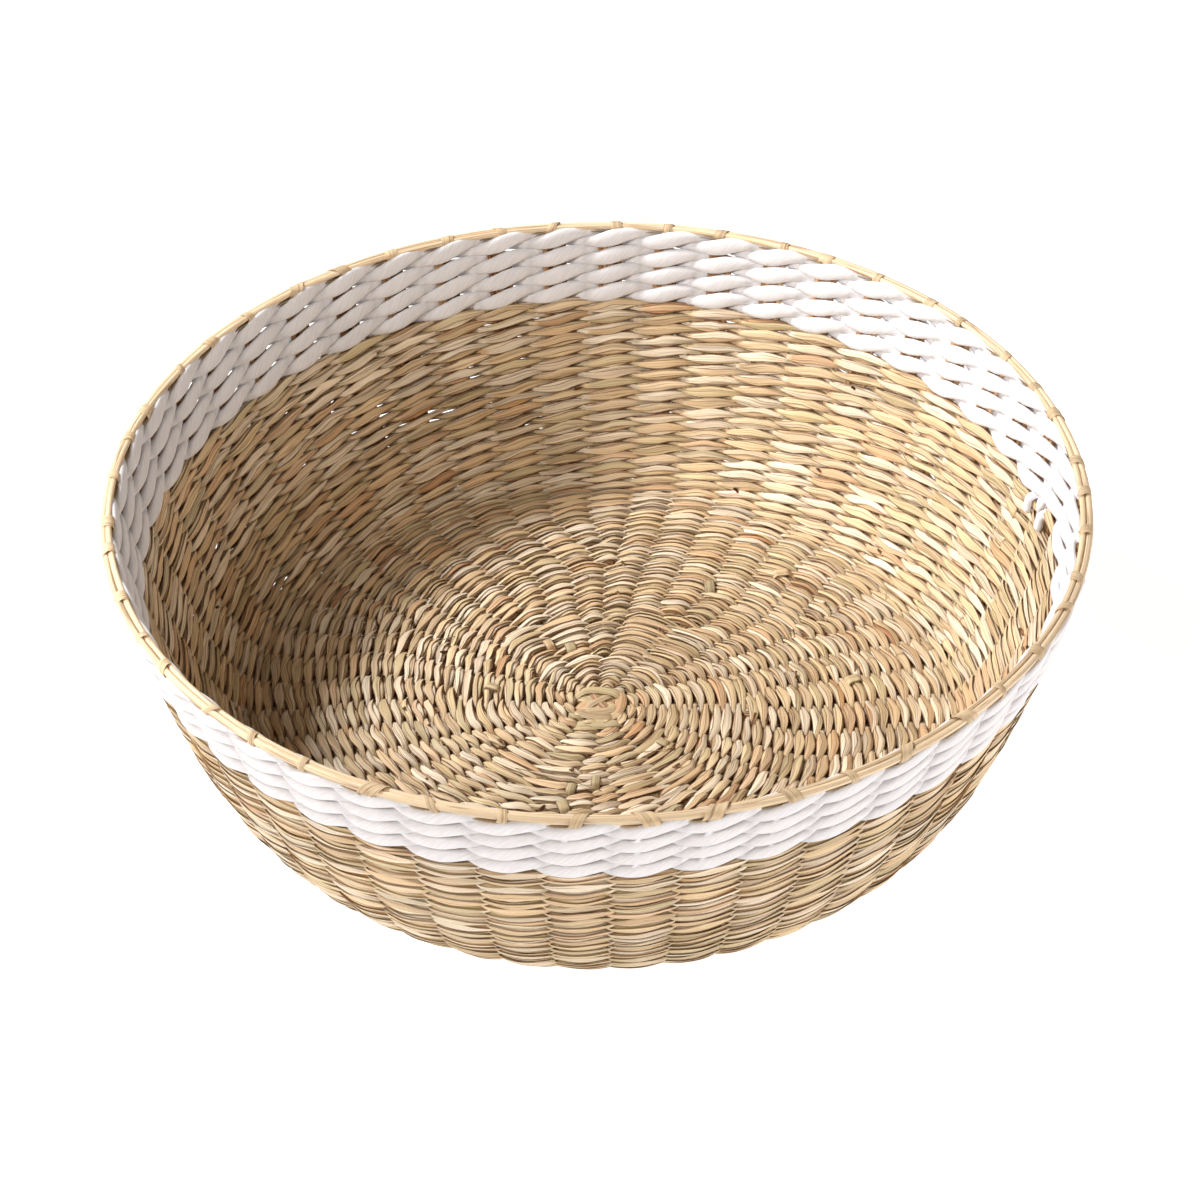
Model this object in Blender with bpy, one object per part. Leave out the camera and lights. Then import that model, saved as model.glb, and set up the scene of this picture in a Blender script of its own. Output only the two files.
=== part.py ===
"""A shallow round bowl, twined from grass over radial stakes, with a rope band below its rim.

Metres, +Z up. The origin is the centre of the underside, which rests on z = 0.

Every piece is placed on the bowl's outside surface, by three numbers:
    along  the distance from the base's centre, out over the base and then up the wall
    angle  the direction round the bowl, in degrees
    depth  the distance inward from the outside surface, into the bowl
"""
import math

import bmesh
import bpy
import numpy as np
from mathutils import Vector

# The bowl
RIM_RADIUS = 0.190
HEIGHT = 0.116
BASE_RADIUS = 0.138          # the flat part that it rests on
WALL_CORNERS = (             # radius and height of the corners that draw the wall's curve
    (BASE_RADIUS, 0),
    (0.161, 0),
    (0.1752, 0.0615),
    (RIM_RADIUS, HEIGHT),
)
PROFILE_STEPS = 200
GAP = 0.00035                # between pieces that touch

# Through the wall: outer passes of the weft, stakes, inner passes of the weft
WEFT_THICKNESS = 0.0024
STAKE_THICKNESS = 0.0022
STAKE_DEPTH = 0.0040         # middle of the stakes
WALL_THICKNESS = 0.0080

# Stakes: 48 ends at the rim, in six equal sectors of eight
STAKE_ENDS = 48
SECTORS = 6
SECTOR_ANGLE = 360 / SECTORS
FIRST_ANGLE = 12.5           # direction of the first stake
STAKE_WIDTHS = ((0.100, 0.0032), (0.140, 0.0052), (0.220, 0.0092))    # at distances along
FOLD_SPACING = 0.0050        # between the two legs of a folded stake, at its fold
SETTLED = 0.122              # from here outward the stakes are evenly spaced
CROWDED = 0.085              # from here inward they are where the earlier sets put them

# The crossing of the long stakes at the centre, squashed flat and tied with two blades
CROSS_RADIUS = 0.0075
CROSS_END = 0.0130
CROSS_THICKNESS = 0.00055
CROSS_PITCH = 0.0009
CROSS_LOWEST = 0.00225       # middle of the lowest stake in the crossing
TIE_REACH = 0.0120
TIE_THICKNESS = 0.0005
TIE_WIDTH = 0.0070
TIE_NECK = 0.0019            # where a tie passes down between two stakes

# The natural weft
WEFT_START = 0.0160

# The rope band: two strands, each outside every other stake and inside the rest
ROPE_ROWS = 4
ROPE_PITCH = 0.0072          # from row to row
ROPE_HEIGHT = 0.0060         # of a strand where it passes a stake
ROPE_CROSS_HEIGHT = 0.0030   # of a strand where the two cross between stakes
ROPE_THICKNESS = 0.0030
ROPE_SWING = 0.0030          # from the middle of the stakes to the middle of the strand
ROPE_HOLD = 0.2              # share of the way to the next stake where it still lies flat on one
ROPE_STEP = 0.0018           # from the middle of the row, where the strands cross
ROPE_REACH = ROPE_HEIGHT / 2 + ROPE_STEP * math.sin(math.pi * ROPE_HOLD)    # either side of a row
CLIMB_STAKES = 4             # each row climbs to the next over the last four stakes

# The border: a bundle of grass, and the blade that is wound round it
BUNDLE_DEEP = 0.0050
BUNDLE_HIGH = 0.0044
BUNDLE_SIDES = 8
LACING_THICKNESS = 0.0008
LACING_WIDTH = 0.0045
LACING_TURN = (-0.18, -0.06, 0.06, 0.18)    # shares of a turn at which it rounds a corner

# Colours, roughness
STRAW = (0.66, 0.50, 0.31)
PALE_STRAW = (0.74, 0.62, 0.42)
DARK_STRAW = (0.48, 0.33, 0.18)
ROPE_WHITE = (0.86, 0.83, 0.80)


def outside_profile():
    """Radius and height of the outside, from the base's centre to the rim."""
    share = np.linspace(0, 1, PROFILE_STEPS + 1)
    weights = [(1 - share) ** 3, 3 * share * (1 - share) ** 2, 3 * share ** 2 * (1 - share), share ** 3]
    curve = sum(np.outer(weight, corner) for weight, corner in zip(weights, WALL_CORNERS))
    radii, heights = np.vstack([(0, 0), curve]).T
    return radii, heights


RADII, HEIGHTS = outside_profile()
LENGTHS = np.concatenate([[0.0], np.cumsum(np.hypot(np.diff(RADII), np.diff(HEIGHTS)))])
SLOPES = np.arctan2(np.gradient(HEIGHTS, LENGTHS), np.gradient(RADII, LENGTHS))
RIM = LENGTHS[-1]            # "along" at the top of the rim

BORDER_MIDDLE = RIM - BUNDLE_HIGH / 2 - GAP - LACING_THICKNESS
BORDER_FOOT = RIM - BUNDLE_HIGH - 2 * GAP - 2 * LACING_THICKNESS
STAKE_TOP = BORDER_FOOT - GAP
TOP_ROW = BORDER_FOOT - GAP - ROPE_REACH
FIRST_ROW = TOP_ROW - (ROPE_ROWS - 1) * ROPE_PITCH
BAND_FOOT = FIRST_ROW - ROPE_REACH - GAP
FOOT_STATIONS = [BASE_RADIUS + GAP, 0.147, 0.158, 0.178]
SIDE_STATIONS = [FOOT_STATIONS[-1] + GAP, 0.200, 0.219, BAND_FOOT - 0.001]
BAND_STATIONS = [FIRST_ROW + 0.75 * ROPE_PITCH, FIRST_ROW + 2.25 * ROPE_PITCH, STAKE_TOP]


def inward(along, angle):
    """The direction into the bowl, square to its outside."""
    slope = np.interp(along, LENGTHS, SLOPES)
    turn = math.radians(angle)
    across = -math.sin(slope)
    return Vector((across * math.cos(turn), across * math.sin(turn), math.cos(slope)))


def place(along, angle, depth):
    """A point of the bowl."""
    radius = np.interp(along, LENGTHS, RADII)
    height = np.interp(along, LENGTHS, HEIGHTS)
    turn = math.radians(angle)
    outside = Vector((radius * math.cos(turn), radius * math.sin(turn), height))
    return outside + inward(along, angle) * depth


def material(name, colour, roughness):
    made = bpy.data.materials.new(name)
    made.use_nodes = True
    shader = made.node_tree.nodes["Principled BSDF"]
    shader.inputs["Base Color"].default_value = (*colour, 1)
    shader.inputs["Roughness"].default_value = roughness
    shader.inputs["Metallic"].default_value = 0
    return made


def sweep(name, rings, closed):
    """A mesh through rings of corners: a loop when closed, or a bar with two flat ends."""
    mesh = bmesh.new()
    made = [[mesh.verts.new(corner) for corner in ring] for ring in rings]
    pairs = list(zip(made, made[1:]))
    if closed:
        pairs.append((made[-1], made[0]))
    else:
        mesh.faces.new(made[0])
        mesh.faces.new(made[-1])
    count = len(made[0])
    for ring, following in pairs:
        for i in range(count):
            j = (i + 1) % count
            mesh.faces.new((ring[i], ring[j], following[j], following[i]))
    bmesh.ops.recalc_face_normals(mesh, faces=mesh.faces)
    data = bpy.data.meshes.new(name)
    mesh.to_mesh(data)
    mesh.free()
    return data


def add(name, mesh, parent, finish, turn=0):
    """An object of the mesh, turned by an angle in degrees about the bowl's axis."""
    mesh.materials.clear()
    mesh.materials.append(finish)
    made = bpy.data.objects.new(name, mesh)
    made.rotation_euler.z = math.radians(turn)
    made.parent = parent
    bpy.context.scene.collection.objects.link(made)


def flat_strip(name, stations):
    """A flat strip through stations of point, face direction, width and thickness."""
    rings = []
    for i, (point, face, width, thickness) in enumerate(stations):
        before = stations[max(i - 1, 0)][0]
        after = stations[min(i + 1, len(stations) - 1)][0]
        arriving = point - before if i > 0 else after - point
        leaving = after - point if i < len(stations) - 1 else arriving
        sides = [face.cross(arriving).normalized(), face.cross(leaving).normalized()]
        mitre = (sides[0] + sides[1]) / (1 + sides[0].dot(sides[1]))
        across = mitre * width / 2
        up = face * thickness / 2
        rings.append([point + across + up, point - across + up, point - across - up, point + across - up])
    return sweep(name, rings, closed=False)


def leg_angle(along, keys):
    """A stake's direction at a distance from the centre, from its keys (along, angle)."""
    return FIRST_ANGLE + np.interp(along, [key[0] for key in keys], [key[1] for key in keys])


def stake_width(along):
    return float(np.interp(along, *zip(*STAKE_WIDTHS)))


def leg(keys):
    """Stations of a stake's leg, from its first key to its top below the border."""
    distances = [key[0] for key in keys] + FOOT_STATIONS + SIDE_STATIONS[1:] + BAND_STATIONS
    stations = []
    for along in distances:
        angle = leg_angle(along, keys)
        point = place(along, angle, STAKE_DEPTH)
        stations.append((point, inward(along, angle), stake_width(along), STAKE_THICKNESS))
    return stations


def long_stake(name, layer, angle, rim_angle):
    """One of the six stakes that cross at the centre, each in its own layer there."""
    level = CROSS_LOWEST + layer * CROSS_PITCH
    halves = []
    for start in (angle, angle + 180):
        turn = math.radians(FIRST_ANGLE + start)
        crossing = Vector((CROSS_RADIUS * math.cos(turn), CROSS_RADIUS * math.sin(turn), level))
        flat = (crossing, Vector((0, 0, 1)), stake_width(CROSS_RADIUS), CROSS_THICKNESS)
        keys = [(CROSS_END, start), (CROWDED, start), (SETTLED, start + rim_angle - angle)]
        halves.append([flat] + leg(keys))
    return flat_strip(name, halves[0][::-1] + halves[1])


def folded_stake(name, start, middle, early, late):
    """A stake folded in two in a gap, its legs at early angles and then at late angles."""
    half_fold = math.degrees(FOLD_SPACING / 2 / start)
    opened = start + 3 * FOLD_SPACING
    legs = []
    for side in (0, 1):
        fold_angle = middle + (half_fold if side else -half_fold)
        keys = [(start, fold_angle), (start + FOLD_SPACING / 2, fold_angle), (SETTLED, late[side])]
        if early:
            keys[2:2] = [(opened, early[side]), (CROWDED, early[side])]
        legs.append(leg(keys))
    return flat_strip(name, legs[0][::-1] + legs[1])


def tie(name, angle, low, high):
    """A blade tied round the crossing: over it, down between stakes, and under it."""
    turn = math.radians(angle)
    out = Vector((math.cos(turn), math.sin(turn), 0))
    across = Vector((-math.sin(turn), math.cos(turn), 0))
    half = TIE_THICKNESS / 2
    corners = [
        (0, high, 0, 1, TIE_WIDTH),
        (TIE_REACH, high, 1, 1, TIE_NECK),
        (TIE_REACH, low, 1, -1, TIE_NECK),
        (0, low, 0, -1, TIE_NECK),
        (-TIE_REACH, low, -1, -1, TIE_NECK),
        (-TIE_REACH, high, -1, 1, TIE_NECK),
    ]
    rings = []
    for reach, height, aside, above, width in corners:
        middle = out * reach + Vector((0, 0, height))
        outer = (out * aside + Vector((0, 0, above))) * half
        side = across * width / 2
        rings.append([middle + outer + side, middle + outer - side, middle - outer - side, middle - outer + side])
    return sweep(name, rings, closed=True)


def weft_layer(name, stations, near, far, climbing=False):
    """A layer of the weft all round the bowl, between two depths."""
    rings = []
    for end in range(STAKE_ENDS):
        angle = FIRST_ANGLE + end * 360 / STAKE_ENDS
        alongs = list(stations)
        if climbing:
            alongs.append(BAND_FOOT + ROPE_PITCH * climb(end))
        ring = [place(along, angle, near) for along in alongs]
        ring += [place(along, angle, far) for along in reversed(alongs)]
        rings.append(ring)
    return sweep(name, rings, closed=True)


def climb(stakes_passed):
    """Rows climbed by a strand after it has passed a number of stakes."""
    rows, passed = divmod(stakes_passed, STAKE_ENDS)
    return rows + max(0, passed - (STAKE_ENDS - CLIMB_STAKES)) / CLIMB_STAKES


def rope_strand(name, side):
    """A strand of the rope band; side is 1 or -1 for the one that starts outside or inside."""
    passes = []
    for stake in range(STAKE_ENDS * ROPE_ROWS - CLIMB_STAKES):
        passes += [(stake + ROPE_HOLD, True), (stake + 0.5, False), (stake + 1 - ROPE_HOLD, True)]
    rings = []
    for passed, at_stake in passes:
        swing = ROPE_SWING if at_stake else 0
        depth = STAKE_DEPTH - side * math.copysign(swing, math.cos(math.pi * passed))
        along = FIRST_ROW + ROPE_PITCH * climb(passed) + side * ROPE_STEP * math.sin(math.pi * passed)
        half_high = (ROPE_HEIGHT if at_stake else ROPE_CROSS_HEIGHT) / 2
        half_deep = ROPE_THICKNESS / 2
        angle = FIRST_ANGLE + passed * 360 / STAKE_ENDS
        rings.append([
            place(along + half_high, angle, depth),
            place(along, angle, depth + half_deep),
            place(along - half_high, angle, depth),
            place(along, angle, depth - half_deep),
        ])
    return sweep(name, rings, closed=False)


def border_bundle(name):
    """The bundle of grass along the rim, round in section."""
    rings = []
    for end in range(STAKE_ENDS):
        angle = FIRST_ANGLE + end * 360 / STAKE_ENDS
        ring = []
        for side in range(BUNDLE_SIDES):
            turn = 2 * math.pi * side / BUNDLE_SIDES
            along = BORDER_MIDDLE + BUNDLE_HIGH / 2 * math.cos(turn)
            ring.append(place(along, angle, STAKE_DEPTH + BUNDLE_DEEP / 2 * math.sin(turn)))
        rings.append(ring)
    return sweep(name, rings, closed=True)


def border_lacing(name):
    """The blade wound round the border, one turn for each stake end."""
    half_width = math.degrees(LACING_WIDTH / 2 / RIM_RADIUS)
    near_high = BUNDLE_HIGH / 2 + GAP
    near_deep = BUNDLE_DEEP / 2 + GAP
    corners = [(-1, 1), (1, 1), (1, -1), (-1, -1)]      # up or down, inside or outside
    rings = []
    for end in range(STAKE_ENDS):
        for share, (up, inside) in zip(LACING_TURN, corners):
            angle = FIRST_ANGLE + (end + share) * 360 / STAKE_ENDS
            ring = []
            for grown, side in ((0, -1), (0, 1), (LACING_THICKNESS, 1), (LACING_THICKNESS, -1)):
                along = BORDER_MIDDLE + up * (near_high + grown)
                depth = STAKE_DEPTH + inside * (near_deep + grown)
                ring.append(place(along, angle + side * half_width, depth))
            rings.append(ring)
    return sweep(name, rings, closed=True)


def add_stakes(bowl, finish):
    """24 stakes: six long ones, and three sets of six folded ones added further out."""
    for layer in range(SECTORS):
        angle = 30 * layer
        rim_angle = angle + 7.5 * (layer % 2)
        add(f"stake_long_{layer + 1}", long_stake("stake_long", layer, angle, rim_angle), bowl, finish)
    folds = [
        ("stake_first_set", 0.030, 15, (10, 20), (7.5, 30)),
        ("stake_second_set", 0.057, 45, (40, 50), (45, 52.5)),
        ("stake_third_set", 0.092, 15, None, (15, 22.5)),
    ]
    for name, start, middle, early, late in folds:
        mesh = folded_stake(name, start, middle, early, late)
        for sector in range(SECTORS):
            add(f"{name}_{sector + 1}", mesh, bowl, finish, turn=sector * SECTOR_ANGLE)


def add_ties(bowl, finish):
    """Two blades round the crossing, at right angles, the upper one over the lower one."""
    stack_low = CROSS_LOWEST - CROSS_THICKNESS / 2
    stack_high = CROSS_LOWEST + (SECTORS - 1) * CROSS_PITCH + CROSS_THICKNESS / 2
    space = GAP + TIE_THICKNESS / 2
    for i, name in enumerate(("centre_tie_lower", "centre_tie_upper")):
        away = space + i * (GAP + TIE_THICKNESS)
        angle = FIRST_ANGLE + 15 + 90 * i
        add(name, tie(name, angle, stack_low - away, stack_high + away), bowl, finish)


def add_weft(bowl, finish):
    """Outer and inner passes of the natural weft: the base, the wall's curved foot, its side."""
    base = [WEFT_START, BASE_RADIUS]
    outside = (0, WEFT_THICKNESS)
    inside = (WALL_THICKNESS - WEFT_THICKNESS, WALL_THICKNESS)
    for side, depths in (("outside", outside), ("inside", inside)):
        name = f"weft_base_{side}"
        add(name, weft_layer(name, base, *depths), bowl, finish)
        name = f"weft_foot_{side}"
        add(name, weft_layer(name, FOOT_STATIONS, *depths), bowl, finish)
        name = f"weft_side_{side}"
        add(name, weft_layer(name, SIDE_STATIONS, *depths, climbing=True), bowl, finish)


def main():
    for old in list(bpy.data.objects):
        bpy.data.objects.remove(old)
    bowl = bpy.data.objects.new("bowl", None)
    bpy.context.scene.collection.objects.link(bowl)
    straw = material("straw", STRAW, 0.7)
    pale_straw = material("pale_straw", PALE_STRAW, 0.6)
    dark_straw = material("dark_straw", DARK_STRAW, 0.8)
    rope_white = material("rope_white", ROPE_WHITE, 0.9)
    add_stakes(bowl, dark_straw)
    add_ties(bowl, pale_straw)
    add_weft(bowl, straw)
    for number, side in ((1, 1), (2, -1)):
        name = f"rope_strand_{number}"
        add(name, rope_strand(name, side), bowl, rope_white)
    add("border_bundle", border_bundle("border_bundle"), bowl, pale_straw)
    add("border_lacing", border_lacing("border_lacing"), bowl, pale_straw)


main()
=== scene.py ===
"""Looks of the twined grass bowl, built around its CAD part.

Every piece is placed on the bowl's outside surface, by three numbers:
    along  the distance from the base's centre, out over the base and then up the wall
    angle  the direction round the bowl, in degrees
    depth  the distance inward from the outside surface, into the bowl
"""

import math

import bpy
import numpy as np
from mathutils import Matrix, Vector


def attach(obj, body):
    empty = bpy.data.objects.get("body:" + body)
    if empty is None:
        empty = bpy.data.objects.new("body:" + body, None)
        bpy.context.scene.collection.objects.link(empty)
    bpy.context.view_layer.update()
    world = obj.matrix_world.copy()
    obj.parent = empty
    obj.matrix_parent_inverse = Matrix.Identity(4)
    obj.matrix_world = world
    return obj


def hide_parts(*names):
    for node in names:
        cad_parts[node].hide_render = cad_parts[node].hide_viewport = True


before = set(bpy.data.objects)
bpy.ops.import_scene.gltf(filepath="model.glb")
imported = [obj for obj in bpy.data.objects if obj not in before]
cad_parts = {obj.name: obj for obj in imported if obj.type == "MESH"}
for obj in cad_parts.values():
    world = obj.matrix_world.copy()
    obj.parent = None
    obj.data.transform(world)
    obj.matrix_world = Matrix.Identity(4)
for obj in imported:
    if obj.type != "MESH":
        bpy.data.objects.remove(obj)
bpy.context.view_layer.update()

# The bowl: its outside is a flat base and a wall curved by four corners (radius, height)
RIM_RADIUS = 0.190
HEIGHT = 0.116
BASE_RADIUS = 0.138
WALL_CORNERS = ((BASE_RADIUS, 0), (0.161, 0), (0.1752, 0.0615), (RIM_RADIUS, HEIGHT))
PROFILE_STEPS = 200
ABOVE_STEPS = 8              # how far the profile goes on above the rim, in steps

# The stakes
STAKE_DEPTH = 0.0040         # middle of the stakes
STAKE_ENDS = 48
STAKE_TURN = 360 / STAKE_ENDS
FIRST_ANGLE = 12.5           # direction of the first stake
CROWDED = 0.085              # up to here the long stakes keep straight
SETTLED = 0.122              # from here on the ends are evenly spaced
FOLD_SPACING = 0.0050        # between the two legs of a stake at its fold

# The rope band
ROPE_ROWS = 4
ROPE_PITCH = 0.0081
CLIMB_STAKES = 4             # a row rises to the next one over this many stakes


def outside_profile():
    """Radius and height of the outside, from the base's centre to just above the rim."""
    share = np.linspace(0, 1, PROFILE_STEPS + 1)
    left = 1 - share
    weights = [left ** 3, 3 * share * left ** 2, 3 * share ** 2 * left, share ** 3]
    curve = sum(np.outer(weight, corner) for weight, corner in zip(weights, WALL_CORNERS))
    above = curve[-1] + (curve[-1] - curve[-2]) * ABOVE_STEPS
    radii, heights = np.vstack([(0, 0), curve, above]).T
    return radii, heights


RADII, HEIGHTS = outside_profile()
LENGTHS = np.concatenate([[0], np.cumsum(np.hypot(np.diff(RADII), np.diff(HEIGHTS)))])
SLOPES = np.arctan2(np.gradient(HEIGHTS, LENGTHS), np.gradient(RADII, LENGTHS))
RIM = LENGTHS[-2]            # "along" at the top of the rim
BORDER_MIDDLE = RIM - 0.00335
BORDER_FOOT = RIM - 0.0067
FIRST_ROW = RIM - 0.0310     # middle of the rope's first row
BAND_FOOT = FIRST_ROW - 0.0041


def place(along, angle, depth):
    """The points at these places on the bowl."""
    along, angle, depth = np.broadcast_arrays(along, angle, depth)
    slope = np.interp(along, LENGTHS, SLOPES)
    turn = np.radians(angle)
    radius = np.interp(along, LENGTHS, RADII) - np.sin(slope) * depth
    height = np.interp(along, LENGTHS, HEIGHTS) + np.cos(slope) * depth
    return np.stack([radius * np.cos(turn), radius * np.sin(turn), height], -1)


def wander(t, period, seed):
    """Smooth random values from -1 to 1 along t, which change over about one period."""
    t = np.asarray(t) / period
    values = np.random.default_rng(seed).uniform(-1, 1, int(np.max(t)) + 3)
    step = np.floor(t).astype(int)
    share = t - step
    share = share * share * (3 - 2 * share)
    return values[step] * (1 - share) + values[step + 1] * share


def eased(t):
    """A smooth step from 0 to 1."""
    t = np.clip(t, 0, 1)
    return t * t * (3 - 2 * t)


def rounded(value, power):
    """A sine's or cosine's values, fuller for a power below 1."""
    return np.sign(value) * np.abs(value) ** power


def linear(*colour):
    """A colour given in sRGB from 0 to 255, as linear values."""
    colour = np.array(colour) / 255
    return np.where(colour < 0.04045, colour / 12.92, ((colour + 0.055) / 1.055) ** 2.4)


class Gathered:
    """Tubes gathered into one mesh.

    Each point has a tint, whose fourth part is how strong the painted shade at the edges is, and
    its
    lay: how far it is across the strip (-1 to 1), how far along it in metres, and the strip's
    number.
    """

    def __init__(self):
        self.points, self.faces, self.tints, self.lays, self.sharp = [], [], [], [], []
        self.count = 0

    def tube(self, rings, tints, across, lengths, number, closed=False, sharp=(), edge=0.8):
        """A tube through rings (stations, sides, 3), a loop when closed, else with flat ends."""
        stations, sides = rings.shape[:2]
        corner = np.arange(stations * sides).reshape(stations, sides)
        near, far = (corner, np.roll(corner, -1, 0)) if closed else (corner[:-1], corner[1:])
        quads = np.stack([near, far, np.roll(far, -1, 1), np.roll(near, -1, 1)], -1).reshape(-1, 4)
        if not closed:
            half = np.arange(sides // 2 - 1)
            cap = np.stack([half, half + 1, sides - 2 - half, sides - 1 - half], -1)
            quads = np.concatenate([quads, cap, cap[:, ::-1] + (stations - 1) * sides])
        points = rings.reshape(-1, 3)
        centred = points - points.mean(0)
        a, b, c, d = (centred[quads[:, i]] for i in range(4))
        if np.einsum("ij,ij->", a, np.cross(b, c) + np.cross(c, d)) < 0:
            quads = quads[:, ::-1]
        self.points.append(points)
        self.faces.append(quads + self.count)
        # the tint's fourth part is how strong the painted shade at the strip's edges is
        tints = np.c_[np.broadcast_to(tints, (stations, 3)), np.broadcast_to(edge, stations)]
        self.tints.append(np.repeat(tints, sides, 0))
        lay = np.empty((stations, sides, 3))
        lay[..., 0] = across
        lay[..., 1] = np.asarray(lengths)[:, None]
        lay[..., 2] = number
        self.lays.append(lay.reshape(-1, 3))
        self.sharp.append(np.tile(np.isin(np.arange(sides), sharp), stations))
        self.count += len(points)


def add_piece(name, gathered, material, nodes):
    """Add the piece made of what was gathered; it stands for CAD nodes."""
    points = np.concatenate(gathered.points).astype(np.float32)
    faces = np.concatenate(gathered.faces).astype(np.int32)
    tints = np.concatenate(gathered.tints)
    mesh = bpy.data.meshes.new(name)
    mesh.vertices.add(len(points))
    mesh.vertices.foreach_set("co", points.ravel())
    mesh.loops.add(faces.size)
    mesh.loops.foreach_set("vertex_index", faces.ravel())
    mesh.polygons.add(len(faces))
    mesh.polygons.foreach_set("loop_start", np.arange(0, faces.size, 4, dtype=np.int32))
    mesh.polygons.foreach_set("use_smooth", np.ones(len(faces), dtype=bool))
    mesh.update(calc_edges=True)
    ends = np.empty(len(mesh.edges) * 2, dtype=np.int32)
    mesh.edges.foreach_get("vertices", ends)
    sharp = np.concatenate(gathered.sharp)[ends.reshape(-1, 2)].all(1)
    mesh.attributes.new("sharp_edge", "BOOLEAN", "EDGE").data.foreach_set("value", sharp)
    tint = mesh.attributes.new("tint", "FLOAT_COLOR", "POINT")
    tint.data.foreach_set("color", tints.astype(np.float32).ravel())
    lay = mesh.attributes.new("lay", "FLOAT_VECTOR", "POINT")
    lay.data.foreach_set("vector", np.concatenate(gathered.lays).astype(np.float32).ravel())
    mesh.materials.append(material)
    made = bpy.data.objects.new(name, mesh)
    bpy.context.scene.collection.objects.link(made)
    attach(made, "root")
    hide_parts(*nodes)
    print(name, len(faces) * 2, "triangles")


# Stakes: the angle of each stake end at a distance from the centre

SECTORS = 6
SECTOR_TURN = 360 / SECTORS
STAKE_FOLDS = [
    # name, along and angle of the fold, and the legs' angles where it is crowded and at the rim
    ("stake_first_set", 0.030, 15, (10, 20), (7.5, 30)),
    ("stake_second_set", 0.057, 45, (40, 50), (45, 52.5)),
    ("stake_third_set", 0.092, 15, None, (15, 22.5)),
]


def stake_ends():
    """For each stake: its name, its fold or 0, and the keys (along, angle) of its two legs."""
    stakes = []
    for layer in range(SECTORS):
        turn = SECTOR_TURN / 2 * layer
        moved = STAKE_TURN * (layer % 2)
        legs = [
            [(0, start), (CROWDED, start), (SETTLED, start + moved)]
            for start in (turn, turn + 180)
        ]
        stakes.append((f"stake_long_{layer + 1}", 0, legs))
    for name, start, middle, early, late in STAKE_FOLDS:
        half_fold = math.degrees(FOLD_SPACING / 2 / start)
        for sector in range(SECTORS):
            legs = []
            for side in (0, 1):
                fold = middle + (half_fold if side else -half_fold)
                keys = [(start, fold), (start + FOLD_SPACING / 2, fold)]
                if early:
                    keys += [(start + 3 * FOLD_SPACING, early[side]), (CROWDED, early[side])]
                keys.append((SETTLED, late[side]))
                legs.append([(along, angle + SECTOR_TURN * sector) for along, angle in keys])
            stakes.append((f"{name}_{sector + 1}", start, legs))
    return stakes


STAKES = stake_ends()


def leg_angle(keys, along):
    """The angle of a stake's leg at a distance along."""
    return np.interp(along, [key[0] for key in keys], [key[1] for key in keys])


# The natural weft

WEFT_FIRST = 0.0098          # middle of the first row
BASE_PITCH = 0.0043
WALL_PITCH = 0.0050
PITCH_BEND = (0.115, 0.03)   # from where, and over what distance, the pitch widens
WALL_BEND = (0.112, 0.03)    # the same for the look of the wall's blades
LEVEL_BEND = (0.13, 0.06)    # and for the rows, which turn from a spiral to level rows
WEFT_END = 0.0024            # the last whole row is this far below the band
LAST_CLIMB = 0.0014          # the weft ends this far above the middle of the rope's first row
LEG_GAP = 0.0088
FOLD_CLEAR = 0.0012          # a row passes a folded stake only this far beyond its fold
BLADES = 3                   # blades side by side in each strand


def bent(along, bend):
    """A share that goes from 0 to 1 over a bend (start, distance)."""
    return eased((along - bend[0]) / bend[1])


def weft_rows():
    """Where each row of the weft starts, and where the last one ends, as distances along."""
    middles = [WEFT_FIRST]
    while middles[-1] < BAND_FOOT:
        pitch = BASE_PITCH + (WALL_PITCH - BASE_PITCH) * bent(middles[-1], PITCH_BEND)
        middles.append(middles[-1] + pitch)
    beyond_first = np.array(middles) - WEFT_FIRST
    room = BAND_FOOT - WEFT_END - WEFT_FIRST
    rows = WEFT_FIRST + beyond_first * room / beyond_first[-2]
    rows[-1] = FIRST_ROW + LAST_CLIMB    # the last row ends under the climb of the rope's first row
    return rows


ROWS = weft_rows()
ROW_COUNT = len(ROWS) - 1


def weft_along(turned):
    """Where the weft is after it has turned by an angle: a spiral, levelled towards the band."""
    row = np.minimum(np.floor(turned / 360).astype(int), ROW_COUNT - 1)
    share = turned / 360 - row
    level = bent(ROWS[row], LEVEL_BEND)
    climbed = eased((share * STAKE_ENDS - (STAKE_ENDS - CLIMB_STAKES)) / CLIMB_STAKES)
    return ROWS[row] + (ROWS[row + 1] - ROWS[row]) * (share * (1 - level) + climbed * level)


def weft_crossings():
    """The angles, counted on from row to row, at which the weft passes a stake.

    The two legs of a folded stake are passed together until they are LEG_GAP apart.
    """
    found = []
    for row in range(ROW_COUNT):
        for _, start, legs in STAKES:
            along = weft_along(np.array(360 * row + leg_angle(legs[0], ROWS[row]) % 360))
            angles = [leg_angle(keys, along) for keys in legs]
            if along < start + FOLD_CLEAR:
                continue
            if start and math.radians(angles[1] - angles[0]) * along < LEG_GAP:
                angles = [sum(angles) / 2]
            found += [360 * row + angle % 360 for angle in angles]
    return np.sort(np.array(found))


CROSSINGS = weft_crossings()

CREAM = linear(246, 230, 204)
STRAW = linear(232, 204, 163)
KHAKI = linear(219, 199, 156)
TAN = linear(224, 184, 142)
ORANGE = linear(214, 165, 118)
RUST = linear(190, 130, 96)
BROWN = linear(140, 98, 60)
PALETTE = np.array([CREAM, STRAW, KHAKI, TAN, ORANGE, RUST])
PALETTE_SHARES = [0.32, 0.43, 0.19, 0.050, 0.008, 0.002]
COMMON = 4                   # the colours of the palette that tint the others a little


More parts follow.
